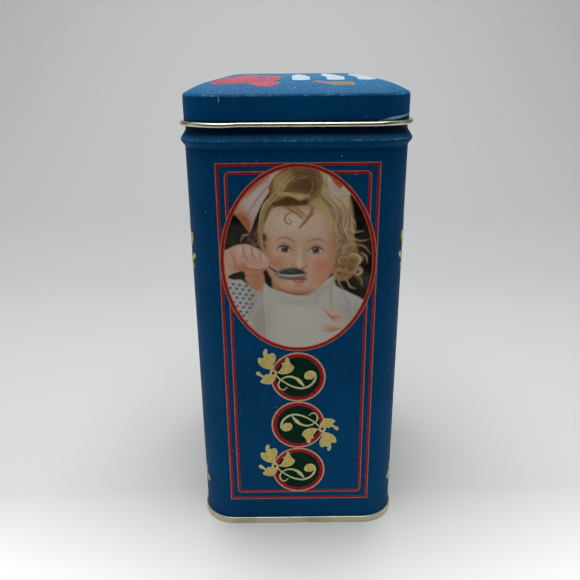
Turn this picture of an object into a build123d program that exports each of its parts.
from build123d import *
import os
from math import atan2, cos, degrees, radians, sin, sqrt

# A rectangular slip-lid coffee tin, bent and pressed from thin tinplate.
# Units are millimetres, +Z is up, and the origin is at the middle of the foot ring that the tin
# stands on. The narrow faces look along Y, and the wide faces look along X.
#
# Every piece is drawn as a section of the sheet in (u, z): u is the distance outside the body's
# outer face, and z is the height. The section then runs once round the rounded rectangle.
# Section lines are drawn so that the sheet lies on their left.

# Driving dimensions
BODY_W = 80.0           # width of the narrow faces, along X
BODY_D = 105.0          # width of the wide faces, along Y
CORNER_R = 13.0         # outside radius of the body's upright corners
SHEET = 0.25            # tinplate thickness

# Double seam that joins the bottom end to the body wall
SEAM_H = 2.8            # height of the seam
SEAM_GAP = 0.03         # air between the folded layers
BODY_HOOK_TOP = 2.0     # tip of the body wall's hook
END_HOOK_FOOT = 0.9     # tip of the bottom end's hook
FOOT_BEND_R = 0.3       # bends either side of the flat foot ring
COUNTERSINK = 3.4       # height of the bottom panel's edge above the foot
CHUCK_BEND_R = 0.8      # bend from the chuck wall into the panel
PANEL_STEP = 0.9        # how far the middle of the bottom panel sits above its edge
STEP_FROM = 5.0         # the step in the bottom panel starts this far inside the body
STEP_TO = 7.0           # and ends this far inside
COMPOUND_W = 0.25       # sealing compound in the pocket over the body hook
COMPOUND_H = 0.32

# Stop bead and neck at the top of the body wall
BEAD_FOOT = 158.0       # where the stop bead leaves the wall
BEAD_Z = 160.2          # height of the bead's crest
BEAD_OUT = 1.4          # how far the crest stands proud
BEAD_FLAT = 0.9         # height of the crest before its edges are rounded
BEAD_HEAD = 163.4       # where the bead meets the neck
BEAD_CREST_R = 0.9      # bends at the crest
BEAD_ROOT_R = 1.5       # bends where the bead leaves the wall and the neck
NECK_IN = 0.45          # how far the neck is set in to clear the lid
HEM_W = 0.6             # width over both layers of the top hem
HEM_H = 3.0             # height of the folded layer
BEND_SLACK = 0.01       # flat left at the middle of a fold, so that its two bends stay apart

# Lock seam up the middle of the back face
LOCK_W = 4.5            # width of the folded strip inside the wall
LOCK_LAYERS = 3         # layers folded over inside the wall
LOCK_FOOT = 5.0
LOCK_HEAD = 156.5
GROOVE_W = 0.3          # groove that shows on the outside
GROOVE_DEPTH = 0.1

# Lid
LID_U = -0.05           # outer face of the skirt, very nearly flush with the body
CURL_D = 1.7            # outside diameter of the false-wire curl
CURL_Z = 165.85         # height of the curl's middle
CURL_TIP = 120.0        # the curl's tip, in degrees round from its outside
CURL_FOOT = -180.0      # where the curl runs into the skirt, in degrees round
CREASE_R = 1.2          # bend between the skirt and the shoulder
LID_RISE_FROM = 175.3   # height of the corner that the crease rounds off
SHOULDER_W = 12.0       # width of the curved shoulder
SHOULDER_H = 5.2        # rise of the shoulder up to the flat top
REST_GAP = 0.05         # the crease's inside rests this close over the hem

# Worked out from the driving dimensions
HOOK_W = SHEET + 2 * SEAM_GAP
SEAM_U = 3 * (SHEET + SEAM_GAP)
CHUCK_U = -(2 * SHEET + SEAM_GAP)
SHOULDER_R = (SHOULDER_W**2 + SHOULDER_H**2) / (2 * SHOULDER_H)
SHOULDER_U = LID_U - SHOULDER_W
LID_TOP = LID_RISE_FROM + SHOULDER_H
SHOULDER_Z = LID_TOP - SHOULDER_R
CREASE_U = LID_U - CREASE_R
CREASE_Z = SHOULDER_Z + sqrt((SHOULDER_R - CREASE_R) ** 2 - (CREASE_U - SHOULDER_U) ** 2)
CURL_R = CURL_D / 2 - SHEET
CURL_U = LID_U + CURL_R


def sheet_section(line):
    """A strip one sheet thick, on the left of the line."""
    return make_face(offset(line, amount=SHEET, side=Side.LEFT).edges())


def run_round(section):
    """Take a (u, z) section round the tin: four straight runs and four quarter turns."""
    solids = []
    for turn in range(4):
        angle = radians(90 * turn)
        out = Vector(round(cos(angle)), round(sin(angle)), 0)
        back = Vector(out.Y, -out.X, 0)
        corner = out - back
        centre = Vector(corner.X * (BODY_W / 2 - CORNER_R), corner.Y * (BODY_D / 2 - CORNER_R), 0)
        run = (BODY_D if turn % 2 == 0 else BODY_W) - 2 * CORNER_R
        face = Plane(origin=centre, x_dir=out, z_dir=back) * Pos(CORNER_R, 0) * section
        solids.append(extrude(face, amount=run, dir=back))
        solids.append(revolve(face, axis=Axis(centre, (0, 0, 1)), revolution_arc=90))
    return solids[0].fuse(*solids[1:]).clean()


def middle_plate(edge_u, top_z):
    """The flat middle of a pressed panel, inside the section's inner end."""
    width = BODY_W + 2 * edge_u
    depth = BODY_D + 2 * edge_u
    outline = RectangleRounded(width, depth, CORNER_R + edge_u)
    return extrude(Pos(0, 0, top_z - SHEET) * outline, amount=SHEET)


def fold_radius(width):
    """Outside bend radius of a fold whose two bends share its width."""
    return (width - BEND_SLACK) / 2


def hem_top():
    """Height at which the rounded hem comes within REST_GAP of the inside of the lid's crease."""
    hem_r = HEM_W / 2
    reach = CREASE_R - SHEET - REST_GAP - hem_r
    return CREASE_Z + sqrt(reach**2 - (-NECK_IN - hem_r - CREASE_U) ** 2) + hem_r


def body_line():
    """Outer face of the body wall, from the tip of its seam hook up to the tip of its hem."""
    foot = 2 * SHEET + SEAM_GAP
    hem_z = hem_top()
    points = [
        (HOOK_W, BODY_HOOK_TOP),
        (HOOK_W, foot),
        (0, foot),
        (0, BEAD_FOOT),
        (BEAD_OUT, BEAD_Z - BEAD_FLAT / 2),
        (BEAD_OUT, BEAD_Z + BEAD_FLAT / 2),
        (-NECK_IN, BEAD_HEAD),
        (-NECK_IN, hem_z),
        (-NECK_IN - HEM_W, hem_z),
        (-NECK_IN - HEM_W, hem_z - HEM_H),
    ]
    bends = [fold_radius(HOOK_W)] * 2
    bends += [BEAD_ROOT_R, BEAD_CREST_R, BEAD_CREST_R, BEAD_ROOT_R]
    bends += [fold_radius(HEM_W)] * 2
    return FilletPolyline(*points, radius=bends)


def lock_seam():
    """The strip of folded layers inside the back face."""
    inside = BODY_D / 2 - SHEET
    thick = LOCK_LAYERS * SHEET
    middle = (LOCK_FOOT + LOCK_HEAD) / 2
    strip = Box(LOCK_W, thick, LOCK_HEAD - LOCK_FOOT)
    strip = fillet(strip.edges().filter_by(Axis.Z).sort_by(Axis.Y)[:2], SHEET)
    return Pos(0, inside - thick / 2, middle) * strip


def lock_groove():
    """The shallow groove that the lock seam leaves on the outside of the back face."""
    middle = (LOCK_FOOT + LOCK_HEAD) / 2
    cut = Box(GROOVE_W, 2 * GROOVE_DEPTH, LOCK_HEAD - LOCK_FOOT)
    return Pos(0, BODY_D / 2, middle) * cut


def body_wall():
    """One sheet bent into a rounded rectangle and locked to itself up the back."""
    wall = run_round(sheet_section(body_line()))
    return wall + lock_seam() - lock_groove()


def end_line():
    """Outer face of the bottom end, from its panel out to the tip of its seam hook."""
    points = [
        (SHOULDER_U, COUNTERSINK + PANEL_STEP),
        (-STEP_TO, COUNTERSINK + PANEL_STEP),
        (-STEP_FROM, COUNTERSINK),
        (CHUCK_U, COUNTERSINK),
        (CHUCK_U, 0),
        (SEAM_U, 0),
        (SEAM_U, SEAM_H),
        (SEAM_GAP, SEAM_H),
        (SEAM_GAP, END_HOOK_FOOT),
    ]
    bends = [CHUCK_BEND_R] * 3 + [FOOT_BEND_R] * 2 + [fold_radius(SEAM_U - SEAM_GAP)] * 2
    return FilletPolyline(*points, radius=bends)


def bottom_end():
    """The pressed bottom: a stepped panel, a countersink and the outer half of the double seam."""
    rim = run_round(sheet_section(end_line()))
    plate = middle_plate(SHOULDER_U, COUNTERSINK + PANEL_STEP + SHEET)
    return rim.fuse(plate).clean()


def seam_compound():
    """The thin ring of sealing compound in the pocket over the body hook."""
    pocket_u = SEAM_GAP + SHEET + HOOK_W / 2
    foot = BODY_HOOK_TOP + SEAM_GAP
    section = Pos(pocket_u, foot + COMPOUND_H / 2) * Rectangle(COMPOUND_W, COMPOUND_H)
    return run_round(section)


def lid_line(depth):
    """The lid's section line at a depth into the sheet, from the curl's tip to the flat top."""
    lean = degrees(atan2(CREASE_Z - SHOULDER_Z, CREASE_U - SHOULDER_U))
    curl = CenterArc((CURL_U, CURL_Z), CURL_R + depth, CURL_TIP, CURL_FOOT - CURL_TIP)
    skirt = Line((LID_U - depth, CURL_Z), (LID_U - depth, CREASE_Z))
    crease = CenterArc((CREASE_U, CREASE_Z), CREASE_R - depth, 0, lean)
    shoulder = CenterArc((SHOULDER_U, SHOULDER_Z), SHOULDER_R - depth, lean, 90 - lean)
    return [curl, skirt, crease, shoulder]


def lid_section():
    """The lid's sheet, between its outer face and its inner face."""
    outer = lid_line(0)
    inner = lid_line(SHEET)
    tip = Line(outer[0] @ 0, inner[0] @ 0)
    end = Line(outer[-1] @ 1, inner[-1] @ 1)
    return make_face(Curve() + outer + inner + [tip, end])


def lid():
    """The slip lid: one pressing with a flat top, a curved shoulder, a skirt and a curl."""
    rim = run_round(lid_section())
    return rim.fuse(middle_plate(SHOULDER_U, LID_TOP)).clean()


PIECES = {
    "body_wall": body_wall,
    "bottom_end": bottom_end,
    "seam_compound": seam_compound,
    "lid": lid,
}

os.makedirs("parts", exist_ok=True)
for name, make in PIECES.items():
    export_step(make(), f"parts/{name}.step")
